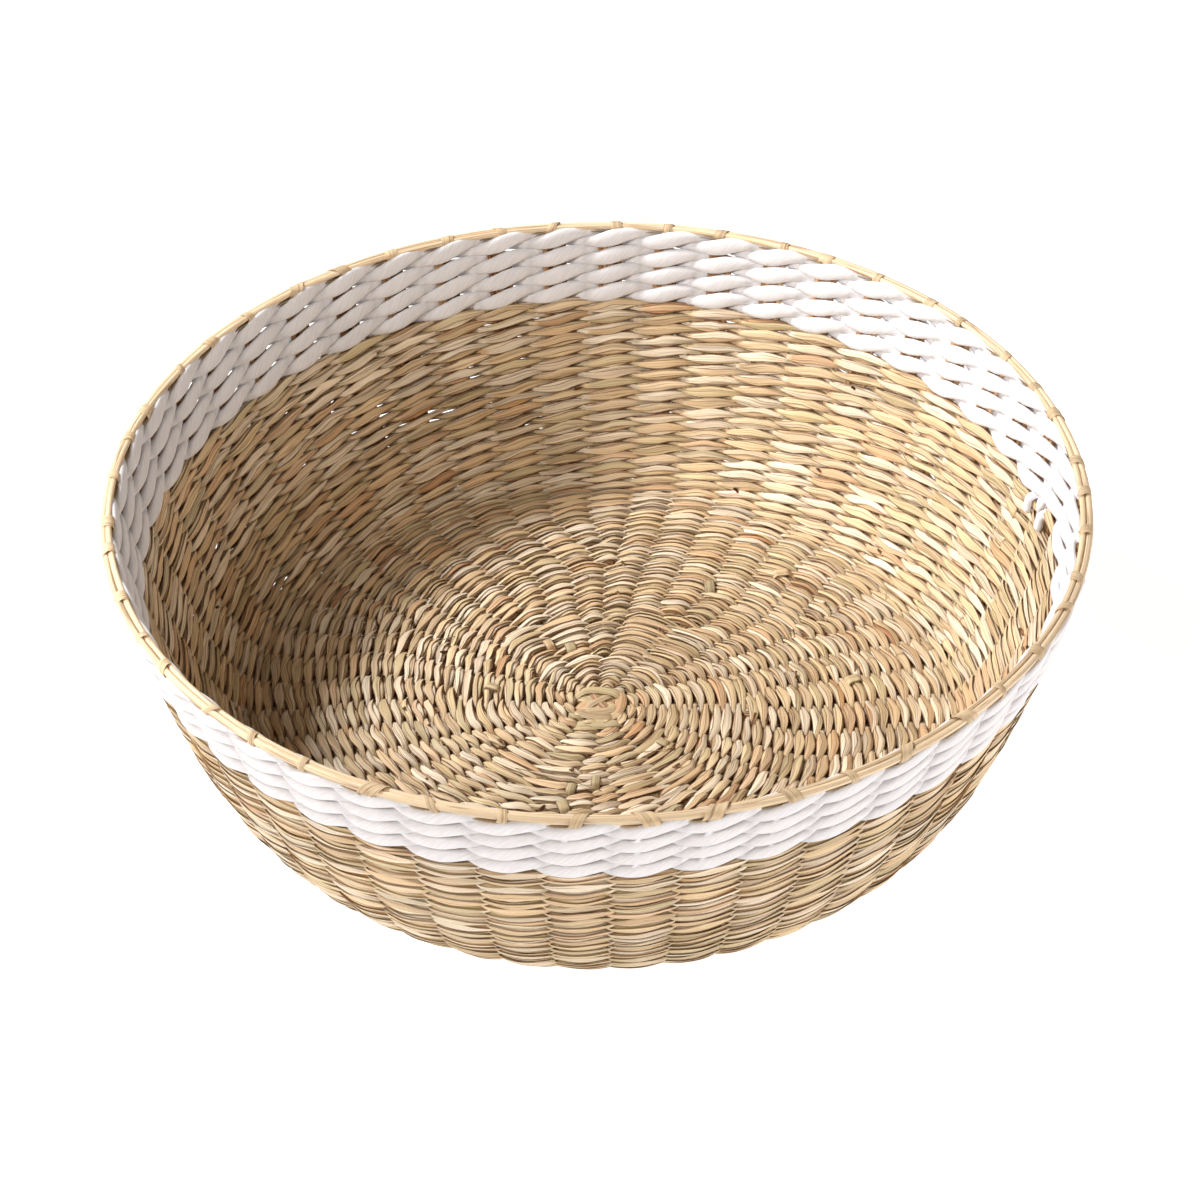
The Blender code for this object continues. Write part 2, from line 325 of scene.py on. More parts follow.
def pass_tints(count, rng):
    """A colour for each pass of a blade; now and then it stays the same as on the pass before."""
    picks = rng.choice(len(PALETTE), count, p=PALETTE_SHARES)
    keep = rng.random(count) < 0.35
    for i in range(1, count):
        if keep[i]:
            picks[i] = picks[i - 1]
    mixed = PALETTE[picks] * 0.75 + PALETTE[rng.integers(0, COMMON, count)] * 0.25
    return mixed * rng.uniform(0.80, 1.06, (count, 1))


BLADE_SECTION = np.array([
    (1.0, 0.05), (0.55, 0.62), (0.06, 1.0), (-0.52, 0.66),
    (-1.0, -0.05), (-0.55, -0.62), (-0.06, -1.0), (0.52, -0.66),
])
BLADE_EDGES = (0, 2, 4, 6)   # corners of the section that are sharp
BLADE_FULL = 0.86            # how much of its own layer's depth a blade fills

HIGH_BETWEEN = 0.28          # a strand's half height between stakes, as a share of the pitch
HIGH_ADDED = 0.28            # what is added to that share at a stake
HIGH_ADDED_WALL = 0.01       # and what is added to it besides on the wall
DEEP_MIDDLE = 0.00110        # its half depth where that share is DEEP_SHARE
DEEP_SHARE = 0.57
SWING = 0.0022               # how far it swings inward and outward of the stakes
SWING_LESS_WALL = 0.0002
LOOSE_THINNER = 0.38         # how much lower both strands are where light shines through the wall
MAIN_BLADE = 1
MAIN_STRONGER = 1.5          # how much the main blade outweighs the others


def weft_blades(gathered, first, last, side, steps, rng):
    """The blades of one strand of the weft, from one crossing to another.

    In u, every crossing is a whole number. At even ones the strand with side 1 is outside the
    stake and the other one is inside it.
    """
    count = (last - first) * steps + 1
    u = first + np.arange(count) / steps
    turned = np.interp(u, np.arange(len(CROSSINGS)), CROSSINGS)
    along = weft_along(turned)
    angle = FIRST_ANGLE + turned
    radius = np.interp(along, LENGTHS, RADII)
    spacing = np.interp(u, np.arange(len(CROSSINGS) - 1) + 0.5, np.diff(CROSSINGS))
    spacing = spacing * np.pi / 180 * radius
    wall = bent(along, WALL_BEND)
    pitch = BASE_PITCH + (WALL_PITCH - BASE_PITCH) * wall
    lengths = np.concatenate([[0], np.cumsum(np.diff(np.radians(turned)) * radius[1:])])

    wave = np.cos(np.pi * u)
    held = rounded(wave, 0.8)
    aside = np.abs(u - np.round(u))
    at_stake = 1 - (aside / 0.5) ** 1.3
    seed = int(rng.integers(1e9))
    share_high = HIGH_BETWEEN + (HIGH_ADDED + HIGH_ADDED_WALL * wall) * at_stake
    loose = np.clip(4 * wander(u - first, 0.9, first) - 2.7, 0, 1) * wall
    half_high = pitch * share_high * (1 + 0.09 * wander(u, 0.9, seed + 1))
    half_high = half_high * (1 - LOOSE_THINNER * loose)
    half_deep = DEEP_MIDDLE * (DEEP_SHARE / share_high) ** 0.95
    half_deep = half_deep + 0.00012 * wander(u, 1.1, seed + 2)
    swing = SWING - SWING_LESS_WALL * wall + 0.0002 * wander(u, 1.3, seed + 3)
    middle_depth = STAKE_DEPTH - side * swing * held
    step = np.minimum(pitch * 0.28, spacing * 0.16)
    middle_along = along + side * step * np.sin(np.pi * u) + 0.00028 * wander(u, 0.9, seed + 4)
    outside = eased(0.5 + side * held)
    # painted shade at the blades' edges, for the shadows between the rows: full on the base, a
    # little less inside the wall, least outside
    painted_shade_strength = 1 - wall * (0.1 + 0.5 * outside)

    # the strand's outline is cut into layers, one for each blade, in the direction "thin"
    tilt = np.radians(9 * wall - 15) + np.radians(14) * wander(u, 1.2, seed + 5)
    shares = np.exp(np.stack([
        wander(u, 2.5, seed + 10 + blade) + (MAIN_STRONGER if blade == MAIN_BLADE else 0)
        for blade in range(BLADES)
    ]))
    edges = np.concatenate([np.zeros((1, count)), np.cumsum(shares / shares.sum(0), 0)]) * 2 - 1
    halves = np.stack([half_high, half_deep])
    for blade in range(BLADES):
        own_tilt = tilt + np.radians(12) * wander(u, 0.9, seed + 40 + blade)
        wide = np.stack([np.cos(own_tilt), np.sin(own_tilt)])
        thin = np.stack([-np.sin(own_tilt), np.cos(own_tilt)])
        reach = np.sqrt(((halves * thin) ** 2).sum(0))
        chord = 1 / np.sqrt(((wide / halves) ** 2).sum(0))
        low, high = edges[blade], edges[blade + 1]
        middle = (low + high) / 2
        half_thin = reach * (high - low) / 2 * BLADE_FULL
        half_wide = chord * (1 - middle ** 4) ** 0.35
        half_wide = half_wide * (1.0 + 0.14 * wander(u, 0.7, seed + 20 + blade))
        offset = middle * halves ** 2 * thin / reach
        slide = 0.0003 * wander(u, 0.8, seed + 30 + blade)
        passes = np.floor(u + 0.5).astype(int)
        tints = pass_tints(passes[-1] - passes[0] + 1, rng)[passes - passes[0]]
        x = BLADE_SECTION[:, 0] * half_wide[:, None] + slide[:, None]
        y = BLADE_SECTION[:, 1] * half_thin[:, None]
        a = (middle_along + offset[0])[:, None] + x * wide[0][:, None] + y * thin[0][:, None]
        d = (middle_depth + offset[1])[:, None] + x * wide[1][:, None] + y * thin[1][:, None]
        gathered.tube(
            place(a, angle[:, None], d), tints, BLADE_SECTION[:, 0], lengths, seed % 97 + blade,
            sharp=BLADE_EDGES, edge=painted_shade_strength,
        )


WEFT_PIECES = [
    # name, distance along at which its last row ends, steps from stake to stake, CAD ring
    ("weft_base_centre", 0.056, 8, "base"),
    ("weft_base_inner", 0.078, 8, "base"),
    ("weft_base_middle", 0.096, 8, "base"),
    ("weft_base_outer", 0.112, 8, "base"),
    ("weft_base_edge", 0.126, 8, "base"),
    ("weft_base_turn", 0.138, 10, "base"),
    ("weft_foot_lower", 0.151, 10, "foot"),
    ("weft_foot_middle", 0.164, 10, "foot"),
    ("weft_foot_upper", 0.178, 10, "foot"),
    ("weft_wall_lower", 0.191, 10, "side"),
    ("weft_wall_middle", 0.205, 10, "side"),
    ("weft_wall_upper", 0.219, 10, "side"),
    ("weft_wall_top", None, 10, "side"),
]


def row_crossing(row):
    """The first crossing of a row."""
    if row == ROW_COUNT:
        return len(CROSSINGS) - 1
    return int(np.searchsorted(CROSSINGS, 360 * row - 1e-6))


def weft_pieces(material):
    """The weft in rings of rows, both strands together."""
    row = 0
    rng = np.random.default_rng(7)
    for name, end, steps, ring in WEFT_PIECES:
        following = int(np.searchsorted(ROWS, end)) if end else ROW_COUNT
        gathered = Gathered()
        first, last = row_crossing(row), row_crossing(following)
        for side in (1, -1):
            weft_blades(gathered, first, last, side, steps, rng)
        nodes = [f"weft_{ring}_outside", f"weft_{ring}_inside"]
        add_piece(name, gathered, material, nodes)
        row = following


# The rope band

ROPE_WHITE = linear(231, 229, 231)
ROPE_LEAD = 5 / 7            # how far before the first stake the strands start, in stakes
ROPE_SWING = 0.0023          # how far a strand swings inward and outward of the stakes
ROPE_STEP = 0.0021           # how far it lies above or below its row's middle between stakes
ROPE_HIGH_BETWEEN = 0.0022   # its half height between stakes
ROPE_HIGH_ADDED = 0.0016     # what is added to it at a stake
ROPE_SIZE = 0.0051e-3        # its half height times its half depth
ROPE_TAILS = [(10.5, -0.0010), (5.6, 0.0012)]    # angle of each cut end, and height above row 1


def rope_strand(gathered, side, rng):
    """One strand of the band, twined with the other one through all of its rows."""
    steps, sides = 14, 14
    last = STAKE_ENDS * ROPE_ROWS - CLIMB_STAKES
    u = np.arange(-ROPE_LEAD * steps, last * steps + 1) / steps
    rows, passed = np.divmod(u, STAKE_ENDS)
    climbed = rows + eased((passed - (STAKE_ENDS - CLIMB_STAKES)) / CLIMB_STAKES)
    angle = FIRST_ANGLE + u * STAKE_TURN
    wave = np.cos(np.pi * u)
    held = rounded(wave, 0.9)
    at_stake = 1 - (np.abs(u - np.round(u)) / 0.5) ** 1.35
    seed = int(rng.integers(1e9))
    depth = STAKE_DEPTH - side * (ROPE_SWING + 0.00015 * wander(u, 1.1, seed)) * held
    along = FIRST_ROW + ROPE_PITCH * climbed + side * ROPE_STEP * np.sin(np.pi * u)
    along = along + 0.0002 * wander(u, 0.9, seed + 1)
    half_high = ROPE_HIGH_BETWEEN + ROPE_HIGH_ADDED * at_stake
    half_high = half_high * (1 + 0.04 * wander(u, 0.8, seed + 2))
    half_deep = ROPE_SIZE / half_high + 0.0001 * wander(u, 1.2, seed + 3)
    turn = 2 * np.pi * np.arange(sides) / sides
    a = along[:, None] + rounded(np.cos(turn), 0.85) * half_high[:, None]
    d = depth[:, None] + rounded(np.sin(turn), 0.85) * half_deep[:, None]
    lengths = u * 2 * np.pi * RIM_RADIUS / STAKE_ENDS
    # painted shade: the strand is darker where the two strands cross, deep between the stakes
    painted_crevice_shade = 0.88 + 0.12 * eased(np.abs(wave) / 0.4)
    white = ROPE_WHITE * (painted_crevice_shade * (1 + 0.03 * wander(u, 3, seed + 4)))[:, None]
    gathered.tube(place(a, angle[:, None], d), white, turn / np.pi - 1, lengths, side)


def rope_tail(gathered, out_angle, out_above):
    """A short cut end of the rope that comes out of the weave, inside the bowl, and hangs down."""
    sides = 12
    t = np.linspace(0, 1, 12)
    turn = 2 * np.pi * np.arange(sides) / sides
    angle = out_angle - 1.1 * t
    along = FIRST_ROW + out_above - 0.0066 * t ** 1.2
    depth = STAKE_DEPTH + 0.0040 * eased(t / 0.5)
    size = 0.0019 + 0.0004 * t
    a = along[:, None] + 0.25 * size[:, None] * np.cos(turn)
    d = depth[:, None] + 0.75 * size[:, None] * np.sin(turn)
    around = angle[:, None] + np.degrees(size / RIM_RADIUS)[:, None] * np.cos(turn)
    gathered.tube(place(a, around, d), ROPE_WHITE, turn / np.pi - 1, 0.008 * t, 3)


def rope_pieces(material):
    """The band's two strands, each with its cut end."""
    rng = np.random.default_rng(11)
    for number, side in ((1, 1), (2, -1)):
        gathered = Gathered()
        rope_strand(gathered, side, rng)
        rope_tail(gathered, *ROPE_TAILS[number - 1])
        name = f"rope_strand_{number}"
        add_piece(f"twisted_{name}", gathered, material, [name])


# Stakes

STEMS = 5                    # stems side by side in each stake
STAKE_STEP = 0.006           # between the stations of a stem
CROSSING_LEVEL = 0.0022      # depth of the lowest long stake where they cross
CROSSING_STEP = 0.0009       # each long stake lies this much above the one before
CROSSING_REACH = 0.013       # they come to the common depth over this distance
STAKE_WIDTHS = ([0.01, 0.10, 0.14, 0.22], [0.0024, 0.0032, 0.0052, 0.0098])    # along, width
STEM_DEEP = 0.0009           # half depth of a stem
ENDS_ASIDE = 0.0011          # how far the upper ends stand aside, from ENDS_FROM on
ENDS_FROM = 0.2


def stake_pieces(material):
    """Each stake is a flat bundle of stems, which run from one of its ends to the other."""
    rng = np.random.default_rng(5)
    sides = 6
    turn = 2 * np.pi * np.arange(sides) / sides
    groups = {}
    for index, (name, start, legs) in enumerate(STAKES):
        group = name.rsplit("_", 1)[0]
        gathered, nodes = groups.setdefault(group, (Gathered(), []))
        nodes.append(name)
        level = CROSSING_LEVEL + CROSSING_STEP * index if index < SECTORS else STAKE_DEPTH
        for stem in range(STEMS):
            share = 2 * stem / (STEMS - 1) - 1
            path = []
            for keys, outward in zip(legs, (False, True)):
                along = np.arange(max(start, 0.0005), BORDER_FOOT + 0.0008, STAKE_STEP)
                angle = FIRST_ANGLE + leg_angle(keys, along)
                width = np.interp(along, *STAKE_WIDTHS)
                radius = np.maximum(np.interp(along, LENGTHS, RADII), 0.004)
                side = share if outward else -share
                angle = angle + np.degrees(side * width * 0.4 / radius)
                angle = angle + np.degrees(ENDS_ASIDE / radius) * (along > ENDS_FROM)
                to_level = np.clip(1 - along / CROSSING_REACH, 0, 1)
                depth = STAKE_DEPTH + (level - STAKE_DEPTH) * to_level
                depth = depth + 0.0001 * wander(along + 0.3 * stem, 0.02, index * 7 + stem)
                leg = np.stack([along, angle, depth, width / STEMS * 1.15], 1)
                path.append(leg if outward else leg[::-1])
            along, angle, depth, wide = np.concatenate(path).T
            radius = np.maximum(np.interp(along, LENGTHS, RADII), 0.004)
            around = angle[:, None] + np.degrees(wide / 2 / radius)[:, None] * np.cos(turn) * 1.15
            rings = place(along[:, None], around, depth[:, None] + STEM_DEEP * np.sin(turn))
            colours = [BROWN, TAN, BROWN * 1.3, ORANGE * 0.7]
            base = colours[int(rng.integers(4))] * rng.uniform(0.8, 1.15)
            lengths = np.arange(len(along)) * STAKE_STEP
            gathered.tube(rings, base, np.cos(turn), lengths, index * STEMS + stem)
    for group, (gathered, nodes) in groups.items():
        add_piece(group.replace("stake", "stakes"), gathered, material, nodes)


# Ribbons: the lacing, the knot and the small ends

RIBBON_SECTION = np.array([
    (1, 0), (0.8, 0.9), (0, 1.1), (-0.8, 0.9), (-1, 0), (-0.8, -0.9), (0, -1.1), (0.8, -0.9),
])
RIBBON_EDGES = (0, 4)        # corners of the section that are sharp


def ribbon(gathered, middle, upward, half_wide, half_thin, tint, number, dome=0.0, closed=False):
    """A flat blade along the points middle, with its face towards upward, crowned by dome."""
    if closed:
        ahead = np.roll(middle, -1, 0) - np.roll(middle, 1, 0)
    else:
        ahead = np.gradient(middle, axis=0)
    across = np.cross(np.broadcast_to(upward, middle.shape), ahead)
    across /= np.linalg.norm(across, axis=1, keepdims=True)
    upward = np.cross(ahead, across)
    upward /= np.linalg.norm(upward, axis=1, keepdims=True)
    half_wide = np.broadcast_to(half_wide, len(middle))[:, None]
    rings = np.stack([
        middle + across * half_wide * x + upward * half_thin * (y + dome * (1 - x * x))
        for x, y in RIBBON_SECTION
    ], 1)
    lengths = np.concatenate([[0], np.cumsum(np.linalg.norm(np.diff(middle, axis=0), axis=1))])
    gathered.tube(rings, tint, RIBBON_SECTION[:, 0], lengths, number, closed, RIBBON_EDGES)


# The border and its lacing

# each stem's height above the middle of the border, depth inward of it, and radius
BORDER_STEMS = [(0.0015, -0.0008, 0.0013), (0.0011, 0.0010, 0.0012), (0.0004, -0.0002, 0.0011)]
BORDER_COLOUR = linear(232, 208, 174)
LACING_COLOUR = linear(234, 207, 168)
LACING_LIFT = 0.0008         # of the middle of a turn above the middle of the border
LACING_HIGH = 0.0021         # half height of a turn of the lacing
LACING_DEEP = 0.0024         # half depth of a turn
LACING_WIDTHS = (0.0012, 0.0036)    # half width of the blade on the border, from and to
LACING_LOW_WIDTH = 0.0011    # half width where it goes on to the next stake
WRAPPED = 0.30               # half of each turn's share that goes round the border


def waves(t, *parts):
    """A sum of sines round the rim; each has a height, a count of waves and a start."""
    return sum(height * np.sin(2 * np.pi * (count * t + start)) for height, count, start in parts)


def border_stems(material):
    """The bundle that runs round the rim."""
    gathered = Gathered()
    stations, sides = STAKE_ENDS * 8, 10
    t = np.arange(stations) / stations
    turn = 2 * np.pi * np.arange(sides) / sides
    for number, (up, inside, size) in enumerate(BORDER_STEMS):
        twist = waves(t, (0.2, 3, 0.37 * number), (0.15, 7, 0.21 * number))
        c, s = np.cos(twist), np.sin(twist)
        along = BORDER_MIDDLE + up * c - inside * s
        depth = STAKE_DEPTH + inside * c + up * s
        a = along[:, None] + size * np.cos(turn)
        d = depth[:, None] + size * np.sin(turn)
        tint = BORDER_COLOUR * (1 + waves(t, (0.08, 5, 0.4 * number)))[:, None]
        rings = place(a, (360 * t)[:, None], d)
        lengths = t * 2 * np.pi * RIM_RADIUS
        gathered.tube(rings, tint, turn / np.pi - 1, lengths, number, closed=True)
    add_piece("border_stems", gathered, material, ["border_bundle"])


def border_lacing(material):
    """The blade that winds round the border once at each stake, and goes on below it."""
    gathered = Gathered()
    rng = np.random.default_rng(3)
    steps = 36
    t = np.arange(STAKE_ENDS * steps) / steps
    wrap = np.floor(t).astype(int)
    from_middle = t % 1 - 0.5
    beyond = np.maximum(np.abs(from_middle) - WRAPPED, 0) / (0.5 - WRAPPED)
    side = np.sign(from_middle)
    angle = FIRST_ANGLE + (wrap + 0.5 * side * eased(beyond)) * STAKE_TURN
    angle = angle + waves(t / STAKE_ENDS, (0.8, 17, 0), (0.5, 29, 0))
    around = np.pi * (1 + 0.8 * np.clip(from_middle / WRAPPED, -1, 1) + 0.2 * side * beyond)
    lean = rng.uniform(-0.35, 0.35, STAKE_ENDS)[wrap] * (1 - eased(beyond * 2)) * np.sin(around)
    middle, outer = (
        place(
            BORDER_MIDDLE + LACING_LIFT - (LACING_HIGH + out) * np.cos(around),
            angle + lean,
            STAKE_DEPTH - (LACING_DEEP + out) * np.sin(around),
        )
        for out in (0, 0.001)
    )
    low = eased(beyond * 2 + 0.3)
    widths = rng.uniform(*LACING_WIDTHS, STAKE_ENDS)[wrap] * (1 - low) + LACING_LOW_WIDTH * low
    # a random tone for each turn, and painted shade that darkens the blade as it goes on below the
    # border to the next stake
    tone_and_painted_shade = rng.uniform(0.84, 1.06, STAKE_ENDS)[wrap] * (1 - 0.4 * low)
    tint = LACING_COLOUR * tone_and_painted_shade[:, None]
    ribbon(gathered, middle, outer - middle, widths, 0.00022, tint, 1, closed=True)
    add_piece("border_lacing_blade", gathered, material, ["border_lacing"])


# The knot at the centre

KNOT_TOP = 4                 # the chords above this height are the knot inside the bowl
KNOT_LEANING = 7.2           # and the ones above this lean a little
KNOT_CHORDS = [
    # direction in degrees; in mm: distance from the centre, half length, bow, half width, height
    (10, 0.0, 15.0, 0.4, 4.2, 1.1),
    (70, 0.0, 15.0, 0.4, 4.2, 1.9),
    (130, 0.0, 15.0, 0.4, 4.2, 1.5),
    (25, 0.0, 12.5, 0.3, 3.4, 6.3),
    (85, 0.3, 12.5, 0.3, 3.4, 6.6),
    (145, 0.0, 12.5, 0.3, 3.4, 6.5),
    (205, 7.0, 10.5, 3.0, 2.2, 6.4),
    (262, 6.2, 11.0, 2.8, 2.3, 6.7),
    (168, 5.4, 11.5, 3.4, 2.5, 6.9),
    (180, 10.4, 13.0, 3.6, 2.4, 6.6),
    (190, 3.4, 11.0, 2.2, 2.3, 7.0),
    (118, -1.4, 10.0, 1.4, 2.3, 7.2),
    (35, -1.0, 9.0, 1.2, 2.1, 7.4),
    (-8, 1.6, 12.5, 4.6, 2.8, 7.6),
]


def knot_piece(material):
    """Wide blades that tie the crossing of the long stakes, below and above it.

    The ends of those above go down under the first row of the weft.
    """
    gathered = Gathered()
    rng = np.random.default_rng(9)
    for number, (direction, aside, half_long, bow, half_wide, height) in enumerate(KNOT_CHORDS):
        t = np.linspace(-1, 1, 25)
        x = half_long * t
        y = aside + bow * (1 - t * t)
        if height > KNOT_TOP:
            z = height - 3.4 * eased((np.abs(t) - 0.45) / 0.55)
        else:
            z = height + 0.8 * t * t
        c, s = math.cos(math.radians(direction)), math.sin(math.radians(direction))
        middle = np.stack([x * c - y * s, x * s + y * c, z], 1) / 1000
        widths = half_wide / 1000 * (1 - 0.35 * t * t)
        tint = [STRAW, KHAKI, STRAW, TAN][number % 4] * rng.uniform(0.74, 0.92)
        lean = (-s * 0.25, c * 0.25, 1) if height > KNOT_LEANING else (0, 0, 1)
        ribbon(gathered, middle, lean, widths, 0.00028, tint, number, dome=1.6)
    nodes = ["centre_tie_lower", "centre_tie_upper"]
    add_piece("centre_knot", gathered, material, nodes)


# Small ends in the weave

TABS = 16
STUBS = 44
FIBRES = 26
INSIDE = STAKE_DEPTH + 0.0034       # depth of the weave's face inside the bowl


def small_ends(material):
    """Where blades were joined: tabs across the rows, brown stubs and loose fibres."""
    gathered = Gathered()
    rng = np.random.default_rng(23)
    t = np.linspace(-1, 1, 15)
    for number in range(TABS):
        along = rng.uniform(0.028, 0.150) + t * rng.uniform(0.0034, 0.0044)
        angle = rng.uniform(0, 360) + t * rng.uniform(-2.0, 2.0)
        depth = INSIDE + 0.0002 - 0.0034 * eased((np.abs(t) - 0.45) / 0.55)
        middle, above = place(along, angle, depth), place(along, angle, depth + 0.001)
        tint = [STRAW, KHAKI * 0.92, KHAKI * 0.8, KHAKI][number % 4] * rng.uniform(0.75, 0.95)
        width = rng.uniform(0.0017, 0.0026)
        ribbon(gathered, middle, above - middle, width, 0.00025, tint, number, dome=1.5)
    t = np.linspace(0, 1, 7)
    for number in range(STUBS):
        along = rng.uniform(0.035, BAND_FOOT - 0.006) + rng.uniform(-0.0008, 0.0022) * t
        angle = rng.uniform(0, 360) + np.degrees(rng.uniform(0.0018, 0.0040) / along) * t
        depth = INSIDE - 0.0016 + rng.uniform(0.0016, 0.0030) * t
        middle, above = place(along, angle, depth), place(along + 0.001, angle, depth)
        dark = np.where(t > 0.55, 0.45, 1.0)[:, None]
        tint = [TAN, ORANGE, BROWN, STRAW][number % 4] * dark * rng.uniform(0.8, 1.0)
        widths = rng.uniform(0.0005, 0.0009) * (1 - 0.3 * t)
        ribbon(gathered, middle, above - middle, widths, 0.0005, tint, number)
    t = np.linspace(0, 1, 16)
    for number in range(FIBRES):
        along = rng.uniform(0.03, BAND_FOOT - 0.01) + rng.uniform(-0.004, 0.007) * t
        along = along + 0.002 * np.sin(3 * t)
        angle = rng.uniform(0, 360) + np.degrees(rng.uniform(0.008, 0.018) / along) * t
        depth = INSIDE - 0.0006 + rng.uniform(0.0010, 0.0028) * np.sin(np.pi * t)
        middle, above = place(along, angle, depth), place(along, angle, depth + 0.001)
        tint = STRAW * rng.uniform(0.6, 1.0)
        ribbon(gathered, middle, above - middle, 0.00016, 0.00012, tint, number)
    nodes = ["weft_base_inside", "weft_foot_inside", "weft_side_inside"]
    add_piece("weft_ends", gathered, material, nodes)


# Materials

class Nodes:
    """Short calls for a material's nodes."""

    def __init__(self, name):
        self.material = bpy.data.materials.new(name)
        self.material.use_nodes = True
        self.tree = self.material.node_tree
        self.shader = self.tree.nodes["Principled BSDF"]

    def node(self, kind, **settings):
        made = self.tree.nodes.new(kind)
        for key, value in settings.items():
            setattr(made, key, value)
        return made

    def link(self, output, socket):
        self.tree.links.new(output, socket)

    def put(self, value, socket):
        """Link a socket's value, or set a plain one."""
        if isinstance(value, bpy.types.NodeSocket):
            self.link(value, socket)
        else:
            socket.default_value = value

    def maths(self, operation, a, b=0.0):
        made = self.node("ShaderNodeMath", operation=operation)
        self.put(a, made.inputs[0])
        self.put(b, made.inputs[1])
        return made.outputs[0]

    def spread(self, value, low, high, to_low, to_high):
        """A value from low to high, spread smoothly from to_low to to_high."""
        made = self.node("ShaderNodeMapRange", interpolation_type="SMOOTHSTEP")
        for i, given in enumerate((value, low, high, to_low, to_high)):
            self.put(given, made.inputs[i])
        return made.outputs[0]

    def tint(self, part="Color"):
        return self.node("ShaderNodeAttribute", attribute_name="tint").outputs[part]

    def lay(self, operation, *factors):
        """The lay (across, length, number) and factors, by MULTIPLY or DOT_PRODUCT."""
        lay = self.node("ShaderNodeAttribute", attribute_name="lay").outputs["Vector"]
        made = self.node("ShaderNodeVectorMath", operation=operation)
        self.link(lay, made.inputs[0])
        made.inputs[1].default_value = factors
        return made.outputs["Value" if operation == "DOT_PRODUCT" else "Vector"]

    def noise(self, place, scale, detail=2.0, roughness=0.5):
        made = self.node("ShaderNodeTexNoise")
        if place is not None:
            self.link(place, made.inputs["Vector"])
        made.inputs["Scale"].default_value = scale
        made.inputs["Detail"].default_value = detail
        made.inputs["Roughness"].default_value = roughness
        return made.outputs["Fac"]

    def shaded(self, colour, by):
        """A colour times a value."""
        made = self.node("ShaderNodeVectorMath", operation="SCALE")
        self.link(colour, made.inputs[0])
        self.put(by, made.inputs["Scale"])
        return made.outputs[0]

    def filtered(self, colour, by):
        """A colour times a fixed colour."""
        made = self.node("ShaderNodeVectorMath", operation="MULTIPLY")
        self.link(colour, made.inputs[0])
        made.inputs[1].default_value = by
        return made.outputs[0]

    def mixed(self, share, a, b):
        """Colour a, with a share of colour b in it."""
        made = self.node("ShaderNodeMix", data_type="RGBA")
        self.put(share, made.inputs["Factor"])
        self.put(a, made.inputs[6])
        self.put(b, made.inputs[7])
        return made.outputs[2]

    def bump(self, height, distance):
        made = self.node("ShaderNodeBump")
        made.inputs["Distance"].default_value = distance
        self.link(height, made.inputs["Height"])
        self.link(made.outputs[0], self.shader.inputs["Normal"])


DRIFT_COLOUR = linear(206, 164, 108)     # towards which a blade's colour drifts
DEEPENED = (0.17, 0.070, 0.020)          # what a dark vein or split keeps of its colour, and what the painted shade at an edge keeps of it


def grass(name, veins, depth, darkest, roughness, painted_edge_shade=0.0):
    """Dried grass: veins, a few dark splits along the blade, drifts of colour, painted shade at
    edges.

    veins is how dense the veins are and depth is their bump in metres. The darkest vein keeps
    about the share darkest of its colour, and the last argument is how dark the painted shade at
    an edge can get.
    """
    m = Nodes(name)
    vein = m.noise(m.lay("MULTIPLY", veins, 22, 7.31), 1.0, 3.0, 0.6)
    split = m.noise(m.lay("MULTIPLY", veins * 0.55, 9, 3.73), 1.0, 1.0)
    drift = m.noise(m.lay("MULTIPLY", 0.5, 60, 3.17), 1.0, 2.0)
    crack = m.spread(m.maths("ABSOLUTE", m.maths("SUBTRACT", split, 0.5)), 0.0, 0.035, 0.0, 1.0)
    from_middle = m.maths("ABSOLUTE", m.lay("DOT_PRODUCT", 1, 0, 0))
    # painted shade: each blade darkens towards its edges, for the shadows between the rows
    edge = m.spread(from_middle, 0.72, 1.0, 0.0, m.maths("MULTIPLY", m.tint("Alpha"), painted_edge_shade))
    drifted = (*DRIFT_COLOUR, 1)
    colour = m.mixed(m.spread(drift, 0.45, 0.8, 0.0, 0.3), m.tint(), drifted)
    deep = m.filtered(colour, DEEPENED)
    colour = m.mixed(edge, colour, deep)
    colour = m.mixed(m.spread(vein, 0.25, 0.55, (1 - darkest) * 0.8, 0.0), colour, deep)
    colour = m.mixed(m.spread(crack, 0.0, 1.0, 0.45, 0.0), colour, deep)
    m.link(colour, m.shader.inputs["Base Color"])
    m.put(m.spread(vein, 0.3, 0.7, roughness + 0.1, roughness - 0.05), m.shader.inputs["Roughness"])
    m.shader.inputs["Specular IOR Level"].default_value = 0.3
    m.bump(m.maths("ADD", vein, m.maths("MULTIPLY", crack, 0.5)), depth)
    return m.material


def rope_finish():
    """Soft white fibres that wind round the strand."""
    m = Nodes("twisted_rope")
    wound = m.node("ShaderNodeCombineXYZ")
    m.link(m.lay("DOT_PRODUCT", 9.0, -700, 5.1), wound.inputs[0])
    m.link(m.lay("DOT_PRODUCT", 1.2, 60, 3.3), wound.inputs[1])
    fibre = m.noise(wound.outputs[0], 1.0, 3.0, 0.6)
    soft = m.noise(m.lay("MULTIPLY", 2.0, 160, 5.1), 1.0, 2.0)
    colour = m.shaded(m.tint(), m.spread(fibre, 0.3, 0.7, 0.90, 1.02))
    m.link(colour, m.shader.inputs["Base Color"])
    m.shader.inputs["Roughness"].default_value = 0.85
    m.shader.inputs["Specular IOR Level"].default_value = 0.2
    m.bump(m.maths("ADD", m.maths("MULTIPLY", fibre, 0.5), soft), 0.00016)
    return m.material


